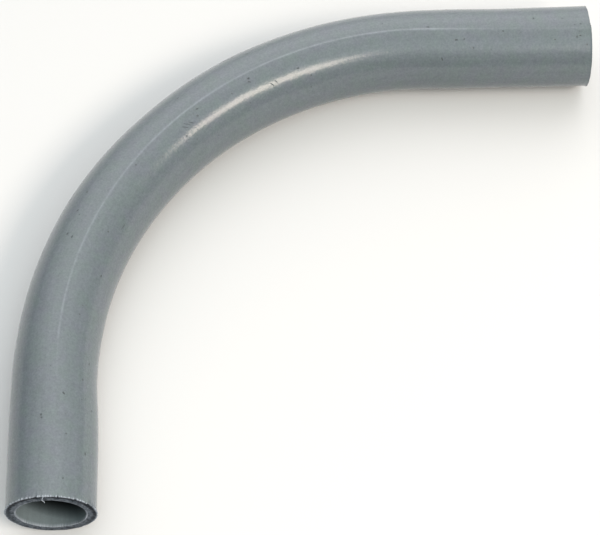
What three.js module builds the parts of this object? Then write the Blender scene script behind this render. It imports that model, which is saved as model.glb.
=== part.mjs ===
// A 90 degree elbow of rigid PVC electrical conduit, trade size 3/4 (metric designator 21), with plain ends.
//
// It is one piece. A straight extruded tube is heated, bent round a former and sawn to length, so the code
// goes the same way: straightTube() makes the tube, and bend() carries each of its points onto the elbow.
//
// Millimetres, +Z up. The elbow lies on its side: its bend plane is level, the lower leg points along -Y
// and the upper leg along +X. The origin is under the middle of its footprint, on the surface it lies on.

import * as THREE from "three";

// Driving dimensions.
const OUTSIDE_DIAMETER = 26.67;
const WALL = 3.0;
const BEND_RADIUS = 121; // to the tube's centreline
const BEND_ANGLE = Math.PI / 2;
const LOWER_LEG = 41.7; // straight length, from the bend to the sawn end
const UPPER_LEG = 54.3;

// Bending flattens a tube: it gets narrower in the bend plane and taller across it.
const NARROWING = 0.044;
const SWELLING = 0.02;
const TRANSITION = 34; // length over which a round leg turns into the flattened bend

// How finely the surface is divided.
const SIDES = 48;
const STATION_STEP = 8;

const OUTER_RADIUS = OUTSIDE_DIAMETER / 2;
const INNER_RADIUS = OUTER_RADIUS - WALL;
const BEND_LENGTH = BEND_RADIUS * BEND_ANGLE;
const AXIS_HEIGHT = OUTER_RADIUS * (1 + SWELLING);

// The footprint runs from the lower leg's outer side to the upper end, and from the lower end to the
// upper leg's outer side. These are the bend's centre as seen from the middle of that footprint.
const BEND_CENTRE_X = (BEND_RADIUS + OUTER_RADIUS - UPPER_LEG) / 2;
const BEND_CENTRE_Y = (LOWER_LEG - BEND_RADIUS - OUTER_RADIUS) / 2;

// Distances along the tube at which it gets a ring of points: even steps in each leg and in the bend.
function stations() {
  const found = [0];
  for (const length of [LOWER_LEG, BEND_LENGTH, UPPER_LEG]) {
    const start = found[found.length - 1];
    const steps = Math.ceil(length / STATION_STEP);
    for (let i = 1; i <= steps; i += 1) found.push(start + (length * i) / steps);
  }
  return found;
}

// The straight tube, standing on its lower end along +Y: its wall's outline turned about that axis.
function straightTube() {
  const up = stations();
  const down = [...up].reverse();
  const outline = [
    ...up.map((along) => new THREE.Vector2(OUTER_RADIUS, along)),
    ...down.map((along) => new THREE.Vector2(INNER_RADIUS, along)),
    new THREE.Vector2(OUTER_RADIUS, 0),
  ];
  return new THREE.LatheGeometry(outline, SIDES);
}

// 0 on the round legs and 1 in the flattened bend.
function flattening(along) {
  const half = TRANSITION / 2;
  const rise = THREE.MathUtils.smoothstep(along, LOWER_LEG - half, LOWER_LEG + half);
  const bendEnd = LOWER_LEG + BEND_LENGTH;
  return rise * (1 - THREE.MathUtils.smoothstep(along, bendEnd - half, bendEnd + half));
}

// The centreline point at a distance along the tube, and the level direction away from the bend's centre.
function centreline(along) {
  const angle = THREE.MathUtils.clamp((along - LOWER_LEG) / BEND_RADIUS, 0, BEND_ANGLE);
  const outward = new THREE.Vector3(-Math.cos(angle), Math.sin(angle), 0);
  const point = new THREE.Vector3(BEND_CENTRE_X, BEND_CENTRE_Y, AXIS_HEIGHT);
  point.addScaledVector(outward, BEND_RADIUS);
  point.y += Math.min(along - LOWER_LEG, 0);
  point.x += Math.max(along - LOWER_LEG - BEND_LENGTH, 0);
  return { point, outward };
}

// Carries the straight tube onto the elbow. The tube's -X side becomes the outside of the bend.
function bend(tube) {
  const position = tube.getAttribute("position");
  for (let i = 0; i < position.count; i += 1) {
    const along = position.getY(i);
    const flat = flattening(along);
    const { point, outward } = centreline(along);
    point.addScaledVector(outward, -position.getX(i) * (1 - NARROWING * flat));
    point.z += position.getZ(i) * (1 + SWELLING * flat);
    position.setXYZ(i, point.x, point.y, point.z);
  }
  tube.computeVertexNormals();
  return tube;
}

const greyPvc = new THREE.MeshStandardMaterial({ color: 0x828d91, roughness: 0.45, metalness: 0 });

const conduitElbow = new THREE.Mesh(bend(straightTube()), greyPvc);
conduitElbow.name = "conduit_elbow";

const elbow = new THREE.Group();
elbow.add(conduitElbow);

export default elbow;
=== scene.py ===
"""The looks of a plain-ended 90 degree elbow of grey PVC electrical conduit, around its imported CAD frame.

The visible elbow is made as the real one is: a straight extruded tube is bent round a former and sawn to
length. Every point of it has a place on the straight tube, which is how far along the tube it lies, the angle
round it, and its depth below the outer skin. bent() carries such places onto the elbow.
Metres, in the CAD frame. Angles round the tube are 0 on the outside of the bend and 90 degrees on top.
"""

import math
from collections import namedtuple

import bpy
import numpy as np
from mathutils import Matrix, Vector


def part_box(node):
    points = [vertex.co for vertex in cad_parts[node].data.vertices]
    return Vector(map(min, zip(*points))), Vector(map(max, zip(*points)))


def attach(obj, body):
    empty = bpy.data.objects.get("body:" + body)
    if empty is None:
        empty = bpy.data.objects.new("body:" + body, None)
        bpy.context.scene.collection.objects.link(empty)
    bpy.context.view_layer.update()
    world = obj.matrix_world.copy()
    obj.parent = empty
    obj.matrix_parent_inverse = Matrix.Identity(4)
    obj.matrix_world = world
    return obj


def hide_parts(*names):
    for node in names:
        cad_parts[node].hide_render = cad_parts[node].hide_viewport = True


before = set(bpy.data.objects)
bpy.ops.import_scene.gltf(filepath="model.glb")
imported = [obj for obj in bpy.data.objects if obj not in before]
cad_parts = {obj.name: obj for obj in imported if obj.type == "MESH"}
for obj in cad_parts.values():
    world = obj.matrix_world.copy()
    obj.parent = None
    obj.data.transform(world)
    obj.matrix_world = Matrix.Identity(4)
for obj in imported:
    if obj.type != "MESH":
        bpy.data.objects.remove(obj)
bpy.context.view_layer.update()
low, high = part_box("conduit_elbow")

MM = 0.001

# The tube. Its place, its straight legs and its height come from the frame.
OUTER_RADIUS = 26.67 / 2 * MM
WALL = 3.0 * MM
BEND_RADIUS = 121 * MM
NARROWING = 0.044  # bending makes the tube narrower in the bend plane ...
SWELLING = (high.z - low.z) / (2 * OUTER_RADIUS) - 1  # ... and taller across it
TRANSITION = 34 * MM  # length over which a round leg turns into the flattened bend

AXIS_HEIGHT = (low.z + high.z) / 2
BEND_CENTRE = Vector((low.x + OUTER_RADIUS + BEND_RADIUS, high.y - OUTER_RADIUS - BEND_RADIUS, AXIS_HEIGHT))
LOWER_LEG = BEND_CENTRE.y - low.y
UPPER_LEG = high.x - BEND_CENTRE.x
BEND_END = LOWER_LEG + BEND_RADIUS * math.pi / 2
LENGTH = BEND_END + UPPER_LEG

# The extrusion line: a low ridge that the die leaves along the top of the tube, lightened as a painted
# highlight.
RIDGE_HEIGHT = 0.13 * MM
RIDGE_WIDTH = 0.40 * MM
RIDGE_ANGLE = math.radians(94.5)
RIDGE_ANCHOR = 0.55  # the share of the length at which it lies at that angle; it turns away towards both ends
RIDGE_WANDER = math.radians(4.8)  # how far it has turned round the tube at the upper end
RIDGE_RISE = (26, 76)  # millimetres along the tube between which it comes up ...
RIDGE_FALL = (240, 254)  # ... and between which most of it fades again
RIDGE_SHARPEST = (232, 4)  # where it is sharpest, and over what distance to each side
# How far the ridge's colour is lightened: a painted highlight.
RIDGE_PAINTED_HIGHLIGHT = 0.22

# Where the skin stands proud (+) or lies low (-) after bending: angle, distance along, spread along, height.
SWELLS = (
    (185, 18, 9, 0.12),
    (185, 40, 7, -0.26),
    (190, 62, 9, 0.15),
    (205, 150, 20, -0.08),
    (214, 253, 9, -0.10),
    (23, 100, 9, 0.11),
    (29, 136, 13, -0.22),
    (34, 169, 6, 0.12),
    (37, 256, 10, -0.18),
    (37, 288, 9, 0.20),
)
SWELL_SPREAD = math.radians(38)  # round the tube

# The saw cuts. Neither is quite square: the slopes by which an end reaches further out towards the outside
# of the bend, and towards the top.
LOWER_CUT = (-0.0164, -0.0011)
UPPER_CUT = (0.0076, -0.0156)
CUT_FADE = 2.5 * MM  # the distance over which a cut's slant dies away from the end, in skin and bore
SAW_MARK = 0.03 * MM
SAW_PITCH = 0.55 * MM
SAW_DIRECTION = 0.5  # of the strokes, in radians round the tube
SAW_GRAIN = 0.035 * MM

# The upper cut was finished from a second start, set back by SAW_STEP on the topmost part of the end. The
# step's edge is this high on the end, in outer radii, this soft, and slopes down to the outside of the bend.
SAW_STEP = 0.32 * MM
SAW_STEP_EDGE = 0.93
SAW_STEP_SOFTNESS = 0.05
SAW_STEP_SLOPE = 0.4

SKIN, FACE, BORE = 0, 1, 2  # the parts of the surface, in the order of its materials
NEITHER, OUTER, INNER = 0, 1, 2  # the rims of a sawn end

# A sawn rim's outline: depth below the skin, how far the burr lifts it off the wall, how far the burr carries
# it out of the cut, and how whitened (+) or darkened with painted shade under the burr (-) it is. In
# millimetres, for a full burr.
OUTER_RIM = (
    (0.00, 0.12, -0.60, 0.0),
    (0.00, 0.32, -0.20, 0.6),
    (0.00, 0.42, 0.02, 0.9),
    (0.08, 0.38, 0.14, 0.9),
    (0.24, 0.14, 0.14, 0.4),
    (0.36, 0.00, -0.10, -0.8),
    (0.55, 0.00, -0.34, -1.0),
    (0.85, 0.00, -0.34, -1.0),
    (1.15, 0.00, -0.22, -0.9),
    (1.45, 0.00, -0.05, -0.3),
)
INNER_RIM = (
    (2.55, 0.00, 0.02, 0.1),
    (2.74, 0.02, 0.16, 1.0),
    (3.00, 0.16, 0.26, 1.0),
    (3.00, 0.08, -0.22, 0.9),
)
FACE_DEPTHS = np.linspace(1.65, 2.45, 4)

# The burr on each rim: whether it is the lower end's, the rim, the noise's seed, the angle where it is
# fullest, how ragged it is, and its size as a share of the outline's.
BURRS = (
    (True, OUTER, 139, 100, 0.9, 1.0),
    (False, OUTER, 21, 270, 0.9, 0.45),
    (True, INNER, 31, 278, 0.45, 1.0),
    (False, INNER, 41, 90, 0.3, 0.6),
)
LEAST_BURR = 0.18  # on the far side of the rim from where it is fullest
SHADE_DARKEST = 95  # the angle where the painted shade under the lower outer rim is darkest

# Bites out of the lower rim where the plastic broke away: angle, half width in degrees, depth.
CHIPS = (
    (151, 3.4, 0.75),
    (158, 1.6, 0.45),
    (163, 1.2, 0.30),
    (127, 1.3, 0.24),
    (104, 1.0, 0.20),
    (76, 1.2, 0.24),
    (33, 1.4, 0.16),
)

# A shaving that still hangs on the lower rim: how far it is out of the cut, its angle, and its depth.
SHAVING = (
    (0.05, 86.0, 0.30),
    (0.45, 85.2, 0.10),
    (0.75, 84.0, 0.60),
    (0.60, 83.4, 1.40),
    (0.40, 84.2, 2.20),
    (0.55, 85.6, 2.90),
    (0.70, 85.2, 3.25),
)
SHAVING_RADIUS = 0.13 * MM
SHAVING_FLATNESS = 0.6
SHAVING_RINGS = 22
SHAVING_SIDES = 8

# Small nicks and scuffs in the skin: distance along, angle, length, width, and tilt from the tube's run.
MARKS = (
    (5.9, 110, 0.7, 0.48, 0),
    (15.0, 141, 1.2, 0.45, 15),
    (25.8, 80, 0.7, 0.54, 0),
    (32.8, 108, 1.2, 0.48, -35),
    (45.0, 147, 1.1, 0.42, 20),
    (77.0, 138, 1.1, 0.48, 0),
    (85.6, 78, 1.1, 0.48, 10),
    (86.4, 69, 1.2, 0.48, 25),
    (95.0, 66, 1.2, 0.45, 5),
    (97.0, 137, 4.1, 0.16, 6),
    (102.0, 63, 0.9, 0.48, 0),
    (139.0, 112, 3.0, 0.26, 42),
    (140.4, 111, 3.2, 0.24, 50),
    (141.9, 113, 2.6, 0.26, 46),
    (145.0, 67, 1.2, 0.48, 0),
    (146.5, 102, 1.1, 0.54, 15),
    (166.4, 44, 2.6, 0.34, 4),
    (168.0, 48, 1.2, 0.40, 0),
    (167.4, 104, 1.0, 0.75, 0),
    (167.0, 109, 1.2, 0.55, 30),
    (172.6, 60, 2.4, 0.40, 10),
    (174.0, 127, 1.6, 0.30, 60),
    (175.6, 125, 1.5, 0.28, 55),
    (184.6, 119, 1.2, 0.45, 20),
    (231.6, 92.5, 1.4, 0.48, 0),
    (236.0, 140, 1.4, 0.54, 80),
    (240.8, 113, 1.2, 0.61, 0),
    (243.4, 112, 0.7, 0.42, 0),
    (267.0, 80, 0.9, 0.54, 60),
    (273.5, 115, 0.7, 0.38, 0),
    (282.0, 110, 0.8, 0.48, 0),
)

# How finely the surface is divided: the angle between points, and close to the extrusion line.
ANGLE_STEP = math.radians(1.05)
FINE_ANGLE_STEP = math.radians(0.2)
FINE_ANGLE = math.radians(2.4)


# ---------------------------------------------------------------- the tube's shape


def smooth(x):
    """Rises smoothly from 0 to 1 as x does."""
    x = np.clip(x, 0, 1)
    return x * x * (3 - 2 * x)


def wave_noise(turns, seed, fewest, most, terms=9):
    """Smooth noise of about -1 to 1 that repeats after one turn, with this few to this many waves in it."""
    rng = np.random.default_rng(seed)
    total = np.zeros_like(turns)
    for _ in range(terms):
        total += np.sin(2 * math.pi * (rng.integers(fewest, most) * turns + rng.random()))
    return total * 1.6 / terms


def flattening(along):
    """0 on the round legs and 1 in the flattened bend."""
    rise = smooth((along - LOWER_LEG) / TRANSITION + 0.5)
    return rise * (1 - smooth((along - BEND_END) / TRANSITION + 0.5))


def turn_between(around, degrees):
    """The signed angle round the tube from a direction given in degrees."""
    return np.angle(np.exp(1j * (around - math.radians(degrees))))


def bent(along, around, depth):
    """Carries places on the straight tube onto the elbow."""
    flat = flattening(along)
    angle = np.clip((along - LOWER_LEG) / BEND_RADIUS, 0, math.pi / 2)
    out_x, out_y = -np.cos(angle), np.sin(angle)
    radius = OUTER_RADIUS - depth
    across = BEND_RADIUS + np.cos(around) * (radius * (1 - NARROWING * flat))
    x = BEND_CENTRE.x + out_x * across + np.maximum(along - BEND_END, 0)
    y = BEND_CENTRE.y + out_y * across + np.minimum(along - LOWER_LEG, 0)
    z = BEND_CENTRE.z + np.sin(around) * (radius * (1 + SWELLING * flat))
    return np.stack([x, y, z], axis=-1)


def swells(along, around):
    """How far the skin stands out from the plain tube there because of the bending."""
    height = np.zeros_like(along)
    for degrees, centre, spread, rise in SWELLS:
        reach = ((along - centre * MM) / (spread * MM)) ** 2
        height += rise * MM * np.exp(-reach - (turn_between(around, degrees) / SWELL_SPREAD) ** 2)
    return height


def ridge(offset, along):
    """The extrusion line's strength, 0 to about 1.5, at an offset round the tube from it."""
    mm_along = along / MM
    rise_start, rise_end = RIDGE_RISE
    fall_start, fall_end = RIDGE_FALL
    sharpest, sharp_reach = RIDGE_SHARPEST
    worn = 0.85 + 0.35 * wave_noise(along / LENGTH, 3, 3, 60)
    fade = smooth((mm_along - rise_start) / (rise_end - rise_start))
    fade = fade * (1 - 0.75 * smooth((mm_along - fall_start) / (fall_end - fall_start)))
    sharp = 1 + 0.9 * np.exp(-(((mm_along - sharpest) / sharp_reach) ** 2))
    return worn * fade * sharp * np.exp(-((offset * OUTER_RADIUS / RIDGE_WIDTH) ** 2))


def cut_offset(around, depth, upper):
    """How far a saw cut stands out from the square end there, its saw marks included."""
    reach = OUTER_RADIUS - depth
    side, top = UPPER_CUT if upper else LOWER_CUT
    plane = side * reach * np.cos(around) + top * reach * np.sin(around)
    if upper:
        height = reach * np.sin(around) + SAW_STEP_SLOPE * reach * np.cos(around)
        plane = plane - SAW_STEP * smooth((height / OUTER_RADIUS - SAW_STEP_EDGE) / SAW_STEP_SOFTNESS)
    return plane + SAW_MARK * np.sin(reach * np.sin(around - SAW_DIRECTION) / SAW_PITCH)


def moved_along(along, around, depth, outward):
    """How far the saw cuts, and what stands outward from them, move a point along the tube."""
    near_lower = np.exp(-along / CUT_FADE)
    near_upper = np.exp(-(LENGTH - along) / CUT_FADE)
    upper_move = (cut_offset(around, depth, True) + outward) * near_upper
    return upper_move - (cut_offset(around, depth, False) + outward) * near_lower


def ringed(around, degrees):
    """1 on about a third of the rim, round this angle, falling to 0 opposite it."""
    return smooth(0.65 + 0.65 * np.cos(turn_between(around, degrees)))


def burr(around, seed, fullest, raggedness):
    """How full the burr on a rim is at each angle, 0 to 1. It is fullest at one side of the rim."""
    turns = around / (2 * math.pi)
    full = 0.55 + 0.35 * wave_noise(turns, seed, 4, 18) + raggedness * wave_noise(turns, seed + 1, 45, 140)
    return np.clip(full, 0, 1) * (LEAST_BURR + (1 - LEAST_BURR) * ringed(around, fullest))


def burrs(around, lower, rim):
    """How full the burr is on all four rims, and 0 away from them."""
    full = np.zeros_like(around)
    for on_lower, which, seed, fullest, raggedness, share in BURRS:
        here = (lower == on_lower) & (rim == which)
        full = np.where(here, share * burr(around, seed, fullest, raggedness), full)
    return full


def chipped(around):
    """How much deeper the lower rim's edge lies where bits of it broke away."""
    bite = np.zeros_like(around)
    for degrees, half_width, depth in CHIPS:
        away = turn_between(around, degrees) / math.radians(half_width)
        bite = np.maximum(bite, depth * MM * np.exp(-(away ** 4)))
    return bite


def whitening_and_shade(around, lower, rim, white_and_shade, ragged, bite):
    """How whitened (+) the plastic is where torn or burred, and its painted shade (-) under outer rims and in
    chips.
    """
    strength = np.where(rim == OUTER, 0.25 + 0.75 * ragged, ragged)
    # Painted shade under the outer rims: on the lower end darkest round one angle, at half strength on the
    # upper end.
    painted_shade = white_and_shade * np.where(lower, 0.25 + 0.75 * ringed(around, SHADE_DARKEST), 0.5)
    # The chips are darkened as painted shade.
    return np.where(white_and_shade < 0, painted_shade, white_and_shade * strength) - np.clip(bite / (0.3 * MM), 0, 1)


# ---------------------------------------------------------------- its rings of points

# A ring of points round the tube: its distance along and depth, the part of the surface, the rim it belongs
# to, and what that rim's outline says of it.
Ring = namedtuple("Ring", "along depth part rim lift reach white")


def angles_round():
    """Angles round the tube from the extrusion line, close together near it. The first follows the last."""
    steps = []
    turn = 0.0
    while turn < 2 * math.pi - ANGLE_STEP / 2:
        steps.append(turn)
        from_ridge = min(turn, 2 * math.pi - turn)
        turn += FINE_ANGLE_STEP if from_ridge < FINE_ANGLE else ANGLE_STEP
    return np.array(steps)


def stations(near_end, first, count):
    """Distances along the tube, from millimetres: a few near each end, and evenly spaced ones between."""
    near_end = np.array(near_end) * MM
    even = np.linspace(first * MM, LENGTH - first * MM, count)
    return np.concatenate([near_end, even, LENGTH - near_end[::-1]])


def end_rings(along):
    """The rings across one sawn end, from the skin to the bore."""
    rings = []
    for depth, lift, reach, white_and_shade in OUTER_RIM:
        part = SKIN if depth == 0 else FACE
        rings.append(Ring(along, depth * MM, part, OUTER, lift * MM, reach * MM, white_and_shade))
    for depth in FACE_DEPTHS:
        rings.append(Ring(along, depth * MM, FACE, NEITHER, 0, 0, 0))
    for depth, lift, reach, white_and_shade in INNER_RIM:
        part = BORE if depth * MM == WALL else FACE
        rings.append(Ring(along, depth * MM, part, INNER, lift * MM, reach * MM, white_and_shade))
    return rings


def all_rings():
    """Every ring in order: up over the skin, across the upper end, back through the bore and to the start."""
    skin = stations([1.0, 2.2], 4, 136)
    bore = stations([1.0, 2.4], 5, 56)
    rings = [Ring(along, 0, SKIN, NEITHER, 0, 0, 0) for along in skin]
    rings += end_rings(LENGTH)
    rings += [Ring(along, WALL, BORE, NEITHER, 0, 0, 0) for along in bore[::-1]]
    rings += end_rings(0)[::-1]
    return rings


def tube_points():
    """The tube's points, ring by ring: where each is on the elbow and on the straight tube, and how whitened
    it is, with painted shade and painted highlight.
    """
    turns = angles_round()[None, :]
    columns = (column[:, None] + 0 * turns for column in np.array(all_rings()).T)
    along, depth, part, rim, lift, reach, white_and_shade = columns
    lower = along < LENGTH / 2
    around = RIDGE_ANGLE + turns + RIDGE_WANDER * ((along / LENGTH - RIDGE_ANCHOR) / (1 - RIDGE_ANCHOR)) ** 2

    bite = np.where(lower & (rim == OUTER), chipped(around), 0)
    ragged = burrs(around, lower, rim) * (1 - np.clip(bite / (0.2 * MM), 0, 1))
    line = np.where(part == SKIN, ridge(turn_between(turns, 0), along), 0)
    proud = np.where(part == SKIN, RIDGE_HEIGHT * line + swells(along, around), 0)
    grain = np.random.default_rng(7).normal(size=along.shape) * np.where(part == FACE, SAW_GRAIN, 0)

    shift = moved_along(along, around, depth, reach * ragged - bite + grain)
    lifted = np.where(rim == INNER, -lift * ragged, lift * ragged)
    places = bent(along + shift, around, depth + bite - proud - lifted)
    radius = OUTER_RADIUS - depth
    straight = np.stack([radius * np.cos(around), along, radius * np.sin(around)], axis=-1)
    # Whitened burrs and rims, painted shade under the outer rims and in the chips (below 0), and the ridge's
    # painted highlight.
    wear_shade_and_highlight = whitening_and_shade(around, lower, rim, white_and_shade, ragged, bite) + RIDGE_PAINTED_HIGHLIGHT * line
    return places, straight, wear_shade_and_highlight


def tube_faces(rings, sides):
    """Faces over rings of points, the last of which meets the first, so that they close."""
    first = np.arange(rings)[:, None] * sides + np.arange(sides)[None, :]
    second = np.roll(first, -1, axis=1)
    quads = np.stack([first, second, np.roll(second, -1, axis=0), np.roll(first, -1, axis=0)], axis=-1)
    return quads.reshape(-1, 4).tolist()


def face_parts():
    """The part that each face over two neighbouring rings belongs to, ring by ring."""
    here = np.array([ring.part for ring in all_rings()])
    after = np.roll(here, -1)
    return np.where((here == FACE) | (after == FACE), FACE, here)


def shaving_points():
    """The shaving's rings of points, in order along it."""
    out, degrees, depth = np.array(SHAVING).T
    knots = np.arange(len(SHAVING))
    steps = np.linspace(0, len(SHAVING) - 1, SHAVING_RINGS)
    along = -np.interp(steps, knots, out) * MM
    around = np.radians(np.interp(steps, knots, degrees))
    depth = np.interp(steps, knots, depth) * MM
    middle = bent(along, around, depth)
    for _ in range(3):
        middle[1:-1] = (middle[:-2] + 2 * middle[1:-1] + middle[2:]) / 4
    ahead = np.gradient(middle, axis=0)
    ahead /= np.linalg.norm(ahead, axis=1, keepdims=True)
    side = np.cross(ahead, [1.0, 0.0, 0.2])
    side /= np.linalg.norm(side, axis=1, keepdims=True)
    other = np.cross(ahead, side)
    angle = np.linspace(0, 2 * math.pi, SHAVING_SIDES, endpoint=False)
    thin = SHAVING_RADIUS * np.minimum(1, 0.3 + np.minimum(steps, steps[-1] - steps))
    outline = np.cos(angle)[None, :, None] * side[:, None]
    outline = outline + SHAVING_FLATNESS * np.sin(angle)[None, :, None] * other[:, None]
    return middle[:, None] + thin[:, None, None] * outline


def shaving_faces(rings, sides, start):
    """Faces over rings of points, one after another from this start, and over both ends."""
    faces = []
    for ring in range(rings - 1):
        base = start + ring * sides
        for i in range(sides):
            after = (i + 1) % sides
            faces.append([base + i, base + sides + i, base + sides + after, base + after])
    last = start + (rings - 1) * sides
    return faces + [[start + i for i in range(sides)], [last + i for i in reversed(range(sides))]]


def add_attribute(mesh, name, kind, field, values):
    attribute = mesh.attributes.new(name, kind, "POINT")
    attribute.data.foreach_set(field, values.reshape(-1).astype(np.float32))


def elbow_tube():
    """The whole elbow, with the shaving on its lower rim."""
    places, straight, wear_shade_and_highlight = tube_points()
    ring_count, sides = wear_shade_and_highlight.shape
    shaving = shaving_points()
    own_faces = tube_faces(ring_count, sides)
    more_faces = shaving_faces(SHAVING_RINGS, SHAVING_SIDES, wear_shade_and_highlight.size)

    mesh = bpy.data.meshes.new("elbow_tube")
    points = np.concatenate([places.reshape(-1, 3), shaving.reshape(-1, 3)])
    mesh.from_pydata(points.tolist(), [], own_faces + more_faces)
    parts = np.concatenate([np.repeat(face_parts(), sides), np.full(len(more_faces), FACE)])
    mesh.polygons.foreach_set("material_index", parts.astype(np.int32))

    straight = np.concatenate([straight.reshape(-1, 3), shaving.reshape(-1, 3)])
    add_attribute(mesh, "straight", "FLOAT_VECTOR", "vector", straight)
    wear_shade_and_highlight = np.concatenate([wear_shade_and_highlight.reshape(-1), np.ones(SHAVING_RINGS * SHAVING_SIDES)])
    add_attribute(mesh, "wear_shade_and_highlight", "FLOAT", "value", wear_shade_and_highlight)

    mesh.shade_smooth()
    mesh.validate()
    piece = bpy.data.objects.new("elbow_tube", mesh)
    bpy.context.scene.collection.objects.link(piece)
    return piece


# ---------------------------------------------------------------- materials

GREY_GREEN = (0.127, 0.157, 0.162, 1)
GREY_VIOLET = (0.133, 0.151, 0.173, 1)
BORE_GREY = (0.160, 0.196, 0.208)
SAWN_DARK = (0.020, 0.027, 0.038, 1)
SAWN_PALE = (0.140, 0.162, 0.190, 1)
# The dark colour of the painted shade under the outer rims' burrs and in the chips.
PAINTED_SHADE_DARK = (0.008, 0.010, 0.014, 1)
# Whitened plastic of burrs and the shaving, also the painted highlight along the extrusion line.
WHITENED_AND_HIGHLIGHT = (0.42, 0.46, 0.52, 1)
PIT = (0.035, 0.043, 0.047, 1)
FLOOR_GREY = (0.66, 0.66, 0.66, 1)

# Painted shade in the bore: how far from an end its colour begins to darken, and where it is black. Both lie
# further in towards the outside of the bend, by this share of the distance from the axis.
BORE_SHADE = (2.8 * MM, 9.5 * MM)
BORE_SHADE_SLANT = 0.22


class Nodes:
    """Short names for making shader nodes. Their inputs are numbers, colours or other nodes' outputs."""

    def __init__(self, name):
        self.material = bpy.data.materials.new(name)
        self.material.use_nodes = True
        self.tree = self.material.node_tree
        self.shader = self.tree.nodes["Principled BSDF"]

    def set(self, node, name, value):
        socket = node.inputs[name]
        if isinstance(value, bpy.types.NodeSocket):
            self.tree.links.new(value, socket)
        else:
            socket.default_value = value

    def add(self, kind, **inputs):
        node = self.tree.nodes.new(kind)
        for name, value in inputs.items():
            self.set(node, name.replace("_", " "), value)
        return node

    def math(self, operation, *values):
        node = self.tree.nodes.new("ShaderNodeMath")
        node.operation = operation
        for index, value in enumerate(values):
            self.set(node, index, value)
        return node.outputs[0]

    def vector_math(self, operation, *values, output=0):
        node = self.tree.nodes.new("ShaderNodeVectorMath")
        node.operation = operation
        for index, value in enumerate(values):
            self.set(node, index, value)
        return node.outputs[output]

    def attribute(self, name, output="Vector"):
        node = self.tree.nodes.new("ShaderNodeAttribute")
        node.attribute_name = name
        return node.outputs[output]

    def noise(self, vector, scale, detail=3.0, roughness=0.5, output="Fac"):
        node = self.add("ShaderNodeTexNoise", Vector=vector, Scale=scale, Detail=detail, Roughness=roughness)
        return node.outputs[output]

    def mix(self, share, first, second):
        node = self.tree.nodes.new("ShaderNodeMix")
        node.data_type = "RGBA"
        for index, value in ((0, share), (6, first), (7, second)):
            self.set(node, index, value)
        return node.outputs[2]

    def between(self, value, low_end, high_end, to_low=0.0, to_high=1.0):
        """Goes evenly from to_low to to_high as the value goes from low_end to high_end, and stays there."""
        node = self.add("ShaderNodeMapRange", Value=value, From_Min=low_end, From_Max=high_end)
        node.inputs["To Min"].default_value = to_low
        node.inputs["To Max"].default_value = to_high
        return node.outputs["Result"]

    def shaded(self, colour, brightness):
        node = self.tree.nodes.new("ShaderNodeVectorMath")
        node.operation = "SCALE"
        self.set(node, 0, colour)
        self.set(node, "Scale", brightness)
        return node.outputs[0]

    def bump(self, height, strength, distance):
        node = self.add("ShaderNodeBump", Height=height, Strength=strength, Distance=distance)
        self.set(self.shader, "Normal", node.outputs["Normal"])

    def distance_to_mark(self, place, along, degrees, length, width, tilt):
        """0 in the middle of an oval mark on the tube and 1 on its edge."""
        angle = math.radians(degrees)
        node = self.tree.nodes.new("ShaderNodeMapping")
        node.vector_type = "TEXTURE"
        middle = (OUTER_RADIUS * math.cos(angle), along * MM, OUTER_RADIUS * math.sin(angle))
        node.inputs["Location"].default_value = middle
        node.inputs["Rotation"].default_value = (math.radians(tilt), -angle, 0)
        node.inputs["Scale"].default_value = (MM, length / 2 * MM, width / 2 * MM)
        self.tree.links.new(place, node.inputs["Vector"])
        return self.vector_math("LENGTH", node.outputs["Vector"], output="Value")


def marks(n, straight):
    """1 in the nicks and scuffs of MARKS, and 0 outside them. Their outlines waver."""
    waver = n.noise(straight, scale=2200, detail=2, roughness=0.5, output="Color")
    waver = n.vector_math("SUBTRACT", waver, (0.5, 0.5, 0.5))
    place = n.vector_math("ADD", straight, n.vector_math("MULTIPLY", waver, (0.5 * MM, 0.5 * MM, 0.5 * MM)))
    nearest = 9.0
    for mark in MARKS:
        nearest = n.math("MINIMUM", n.distance_to_mark(place, *mark), nearest)
    return n.between(nearest, 1.15, 0.75)


def pits(n, straight):
    """1 in small pits scattered over the skin, closer together in some places, and 0 outside them."""
    cells = n.add("ShaderNodeTexVoronoi", Vector=straight, Scale=430.0)
    chance = n.add("ShaderNodeSeparateColor", Color=cells.outputs["Color"])
    crowd = n.between(n.noise(straight, scale=70, detail=1, roughness=0.5), 0.35, 0.62, 0.72, 0.05)
    size = n.math("MULTIPLY", n.math("SUBTRACT", chance.outputs[0], crowd), 0.2)
    inside = n.math("SUBTRACT", size, cells.outputs["Distance"])
    return n.between(inside, 0.0, 0.04)


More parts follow.
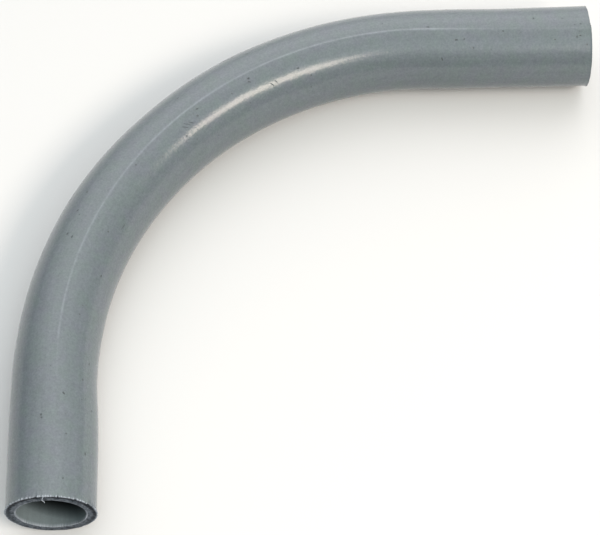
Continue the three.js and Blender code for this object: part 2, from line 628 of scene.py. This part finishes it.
def pvc_skin():
    """Satin grey PVC with grain, faint streaks along the tube, two tints, pits, nicks and a ridge with a
    painted highlight.
    """
    n = Nodes("pvc_skin")
    straight = n.attribute("straight")
    wear_shade_and_highlight = n.attribute("wear_shade_and_highlight", "Fac")
    patches = n.noise(straight, scale=210, detail=2, roughness=0.5)
    grain = n.noise(straight, scale=1500, detail=3, roughness=0.7)
    mottle = n.noise(straight, scale=520, detail=2, roughness=0.6)
    drawn_out = n.vector_math("MULTIPLY", straight, (700, 45, 700))
    streaks = n.noise(drawn_out, scale=1.0, detail=2, roughness=0.5)
    dents = n.math("MAXIMUM", marks(n, straight), n.math("MULTIPLY", pits(n, straight), 0.8))

    tint = n.mix(n.between(patches, 0.3, 0.7), GREY_GREEN, GREY_VIOLET)
    light = n.math("ADD", n.between(grain, 0.25, 0.75, -0.16, 0.16), n.between(mottle, 0.3, 0.7, 0.96, 1.04))
    light = n.math("ADD", light, n.between(streaks, 0.3, 0.7, -0.03, 0.03))
    pitted = n.mix(n.math("MULTIPLY", dents, 0.85), n.shaded(tint, light), PIT)
    # Whitened on burrs, and lighter along the extrusion line as a painted highlight.
    whitened_and_highlit = n.math("MULTIPLY", wear_shade_and_highlight, n.between(mottle, 0.3, 0.6, 0.75, 1.0))
    n.set(n.shader, "Base Color", n.mix(whitened_and_highlit, pitted, WHITENED_AND_HIGHLIGHT))

    rough = n.math("ADD", n.between(grain, 0.3, 0.7, 0.15, 0.23), n.math("MULTIPLY", dents, 0.4))
    n.set(n.shader, "Roughness", rough)
    n.shader.inputs["Specular IOR Level"].default_value = 0.42
    n.shader.inputs["Sheen Weight"].default_value = 0.08
    n.shader.inputs["Sheen Roughness"].default_value = 0.35

    peel = n.noise(straight, scale=900, detail=1, roughness=0.5)
    height = n.math("ADD", n.math("MULTIPLY", grain, 0.3), n.math("MULTIPLY", peel, 1.2))
    height = n.math("SUBTRACT", height, n.math("MULTIPLY", dents, 1.5))
    n.bump(height, 0.6, 0.05 * MM)
    return n.material


def sawn_pvc():
    """Dark, torn plastic with saw strokes, painted shade below the outer rim and in the chips, and whitened
    on the burrs.
    """
    n = Nodes("sawn_pvc")
    straight = n.attribute("straight")
    wear_shade_and_highlight = n.attribute("wear_shade_and_highlight", "Fac")
    drawn_out = n.vector_math("MULTIPLY", straight, (500, 500, 2000))
    strokes = n.noise(drawn_out, scale=1.0, detail=4, roughness=0.65)
    grain = n.noise(straight, scale=1700, detail=3, roughness=0.7)
    blotches = n.noise(straight, scale=650, detail=2, roughness=0.6)
    torn = n.math("ADD", n.math("MULTIPLY", strokes, 0.35), n.math("MULTIPLY", grain, 0.3))
    torn = n.math("ADD", torn, n.math("MULTIPLY", blotches, 0.35))

    colour = n.mix(n.between(torn, 0.43, 0.565), SAWN_DARK, SAWN_PALE)
    # Painted shade: darker below 0, under the outer rim's burr and in the chips.
    colour = n.mix(n.between(wear_shade_and_highlight, 0.0, -1.0, 0.0, 0.85), colour, PAINTED_SHADE_DARK)
    n.set(n.shader, "Base Color", n.mix(n.between(wear_shade_and_highlight, 0.0, 1.0), colour, WHITENED_AND_HIGHLIGHT))
    n.set(n.shader, "Roughness", n.between(torn, 0.35, 0.65, 0.5, 0.8))
    n.shader.inputs["Specular IOR Level"].default_value = 0.15
    n.bump(torn, 0.8, 0.2 * MM)
    return n.material


def bore_skin():
    """Dull grey PVC, with painted shade that darkens it further in."""
    n = Nodes("bore_skin")
    straight = n.attribute("straight")
    drawn_out = n.vector_math("MULTIPLY", straight, (600, 60, 600))
    streaks = n.noise(drawn_out, scale=1.0, detail=3, roughness=0.6)
    grain = n.noise(straight, scale=2000, detail=3, roughness=0.6)
    light = n.math("ADD", n.between(grain, 0.25, 0.75, -0.07, 0.07), n.between(streaks, 0.3, 0.7, 0.95, 1.05))

    # Painted shade: the colour darkens to black further in from each end, sooner on the inside of the bend.
    place = n.add("ShaderNodeSeparateXYZ", Vector=straight)
    outward, along = place.outputs["X"], place.outputs["Y"]
    from_end = n.math("MINIMUM", along, n.math("SUBTRACT", LENGTH, along))
    from_end = n.math("SUBTRACT", from_end, n.math("MULTIPLY", outward, BORE_SHADE_SLANT))
    painted_shade_inwards = n.between(from_end, *BORE_SHADE, 1.02, 0.0)
    light = n.math("MULTIPLY", light, n.math("MULTIPLY", painted_shade_inwards, painted_shade_inwards))

    n.set(n.shader, "Base Color", n.mix(n.attribute("wear_shade_and_highlight", "Fac"), n.shaded(BORE_GREY, light), WHITENED_AND_HIGHLIGHT))
    n.set(n.shader, "Roughness", n.between(grain, 0.3, 0.7, 0.5, 0.65))
    n.shader.inputs["Specular IOR Level"].default_value = 0.05
    n.bump(grain, 0.25, 0.08 * MM)
    return n.material


def pale_floor():
    n = Nodes("pale_floor")
    n.shader.inputs["Base Color"].default_value = FLOOR_GREY
    n.shader.inputs["Roughness"].default_value = 0.9
    n.shader.inputs["Specular IOR Level"].default_value = 0.2
    return n.material


# ---------------------------------------------------------------- stage, lights and camera

FLOOR_REACH = 12.0  # from its middle to its edges

# Where light comes from: azimuth from +X towards +Y, and elevation. The key light is a small warm softbox in
# the middle of a larger one. SOFTBOXES gives their width and height in degrees, radiance and colour. The rest
# is the room's own light, which is smooth all round: an even part, and a glow about each direction in GLOWS,
# with how tightly it gathers there, its radiance and its colour.
KEY = (-36.25, 45.5)
SOFTBOX_DISTANCE = 1.5
SOFTBOXES = (
    (31, 14.5, 15.5, (1.0, 0.88, 0.77)),
    (50, 34, 0.5, (0.9, 1.0, 1.0)),
)
EVEN_LIGHT = 0.17
GLOWS = (
    (91, 42, 4, 2.55, (1.0, 1.0, 1.0)),
    (-72, 62, 10, 2.1, (0.88, 1.0, 1.0)),
    (20, 68, 16, 0.3, (1.0, 1.0, 1.0)),
)

# The camera stands where the photograph was taken from, seen from its aim. Its azimuth is from -Y towards +X.
CAMERA_AIM = Vector((-0.00524, -0.00793, AXIS_HEIGHT))
CAMERA_DISTANCE = 0.5802
CAMERA_AZIMUTH = math.radians(-3.705)
CAMERA_ELEVATION = math.radians(60.94)
CAMERA_ROLL = math.radians(1.795)
CAMERA_LENS = 110.77  # millimetres, on a sensor 36 millimetres wide


def towards(azimuth, elevation):
    """The direction with this azimuth and elevation, in degrees."""
    azimuth, elevation = math.radians(azimuth), math.radians(elevation)
    return Vector((
        math.cos(elevation) * math.cos(azimuth),
        math.cos(elevation) * math.sin(azimuth),
        math.sin(elevation),
    ))


def floor():
    mesh = bpy.data.meshes.new("floor")
    corners = [(x * FLOOR_REACH, y * FLOOR_REACH, 0) for x, y in ((-1, -1), (1, -1), (1, 1), (-1, 1))]
    mesh.from_pydata(corners, [], [(0, 1, 2, 3)])
    mesh.materials.append(pale_floor())
    sheet = bpy.data.objects.new("floor", mesh)
    sheet.location.z = low.z
    bpy.context.scene.collection.objects.link(sheet)


def softbox(direction, width, height, radiance, colour):
    lamp = bpy.data.lights.new("softbox", "AREA")
    lamp.shape = "RECTANGLE"
    lamp.size = 2 * SOFTBOX_DISTANCE * math.tan(math.radians(width / 2))
    lamp.size_y = 2 * SOFTBOX_DISTANCE * math.tan(math.radians(height / 2))
    lamp.energy = radiance * math.pi * lamp.size * lamp.size_y
    lamp.color = colour
    light = bpy.data.objects.new("softbox", lamp)
    turn = direction.to_track_quat("Z", "Y").to_matrix().to_4x4()
    light.matrix_world = Matrix.Translation(direction * SOFTBOX_DISTANCE) @ turn
    bpy.context.scene.collection.objects.link(light)


def room_light(even, glows):
    """Light from all round. Each glow is a power of the cosine of the angle from its direction."""
    world = bpy.data.worlds.new("room")
    world.use_nodes = True
    tree = world.node_tree
    direction = tree.nodes.new("ShaderNodeTexCoord").outputs["Generated"]
    total = None
    for azimuth, elevation, tightness, radiance, colour in glows:
        facing = tree.nodes.new("ShaderNodeVectorMath")
        facing.operation = "DOT_PRODUCT"
        facing.inputs[1].default_value = towards(azimuth, elevation)
        tree.links.new(direction, facing.inputs[0])
        lit_side = tree.nodes.new("ShaderNodeMath")
        lit_side.operation = "MAXIMUM"
        tree.links.new(facing.outputs["Value"], lit_side.inputs[0])
        lit_side.inputs[1].default_value = 0
        gathered = tree.nodes.new("ShaderNodeMath")
        gathered.operation = "POWER"
        tree.links.new(lit_side.outputs[0], gathered.inputs[0])
        gathered.inputs[1].default_value = tightness
        added = tree.nodes.new("ShaderNodeVectorMath")
        added.operation = "MULTIPLY_ADD"
        tree.links.new(gathered.outputs[0], added.inputs[0])
        added.inputs[1].default_value = Vector(colour) * radiance
        if total is None:
            added.inputs[2].default_value = (even, even, even)
        else:
            tree.links.new(total, added.inputs[2])
        total = added.outputs[0]
    tree.links.new(total, tree.nodes["Background"].inputs["Color"])
    bpy.context.scene.world = world


def lights():
    for box in SOFTBOXES:
        softbox(towards(*KEY), *box)
    room_light(EVEN_LIGHT, GLOWS)


def camera():
    back = Vector((
        math.sin(CAMERA_AZIMUTH) * math.cos(CAMERA_ELEVATION),
        -math.cos(CAMERA_AZIMUTH) * math.cos(CAMERA_ELEVATION),
        math.sin(CAMERA_ELEVATION),
    ))
    level = Vector((math.cos(CAMERA_AZIMUTH), math.sin(CAMERA_AZIMUTH), 0))
    upright = back.cross(level)
    right = level * math.cos(CAMERA_ROLL) + upright * math.sin(CAMERA_ROLL)
    up = upright * math.cos(CAMERA_ROLL) - level * math.sin(CAMERA_ROLL)
    turn = Matrix((right, up, back)).transposed().to_4x4()
    lens = bpy.data.cameras.new("camera")
    lens.sensor_width = 36
    lens.lens = CAMERA_LENS
    eye = bpy.data.objects.new("camera", lens)
    eye.matrix_world = Matrix.Translation(CAMERA_AIM + back * CAMERA_DISTANCE) @ turn
    bpy.context.scene.collection.objects.link(eye)
    bpy.context.scene.camera = eye


# ---------------------------------------------------------------- the scene

tube = elbow_tube()
for material in (pvc_skin(), sawn_pvc(), bore_skin()):
    tube.data.materials.append(material)
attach(tube, "root")
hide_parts("conduit_elbow")

floor()
lights()
camera()
bpy.context.scene.view_settings.view_transform = "Standard"
